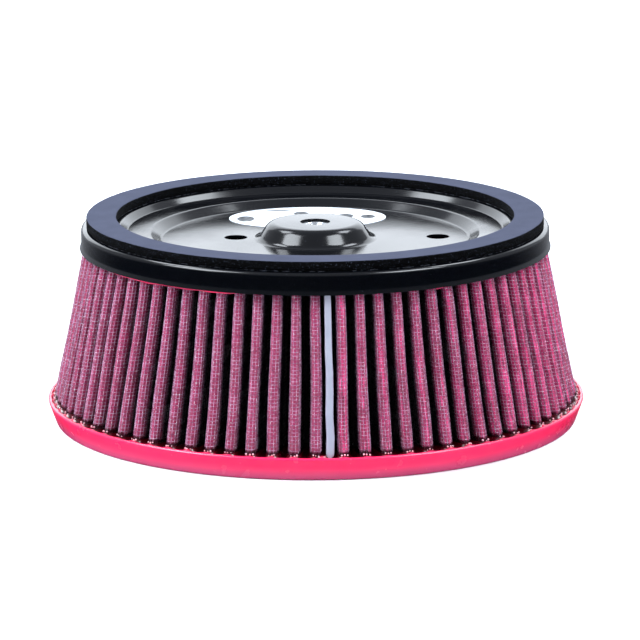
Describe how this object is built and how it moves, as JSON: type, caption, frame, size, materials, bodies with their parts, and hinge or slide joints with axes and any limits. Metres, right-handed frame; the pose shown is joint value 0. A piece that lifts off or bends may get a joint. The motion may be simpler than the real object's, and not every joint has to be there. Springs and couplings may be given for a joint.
{
  "type": "air filter element",
  "caption": "Round tapered motorcycle air filter: pleated oiled gauze between wire screens, a cast base ring, a recessed steel end plate with a centre nut and a foam gasket.",
  "frame": {"origin": "centre of the base moulding's flat underside", "axes": "+Z along the filter's axis from the base ring to the end plate; -Y at the pleat beside the seam; +X to the right seen from -Y"},
  "size_m": [0.1799, 0.1799, 0.0687],
  "materials": {
    "red_polyurethane": "glossy cast polyurethane",
    "black_enamel_steel": "gloss black enamel",
    "zinc_plated_steel": "bright zinc plate",
    "adhesive_film": "satin film",
    "black_foam_rubber": "matte closed-cell foam",
    "red_bonding_compound": "glossy cast polyurethane",
    "white_vinyl": "gloss vinyl with a dark print",
    "bare_aluminium": "satin rolled strip",
    "epoxy_coated_mesh": "woven wire, coated",
    "oiled_cotton_gauze": "open weave, red oil"
  },
  "bodies": {
    "root": {"base_moulding": "red_polyurethane", "end_plate": "black_enamel_steel", "centre_nut": "zinc_plated_steel", "gasket_tape": "adhesive_film", "foam_gasket": "black_foam_rubber", "top_bond": "red_bonding_compound", "label": "white_vinyl", "seam_clip": "bare_aluminium", "outer_screen": "epoxy_coated_mesh", "gauze_ply_1": "oiled_cotton_gauze", "gauze_ply_2": "oiled_cotton_gauze", "gauze_ply_3": "oiled_cotton_gauze", "gauze_ply_4": "oiled_cotton_gauze", "inner_screen": "epoxy_coated_mesh"}
  },
  "joints": []
}
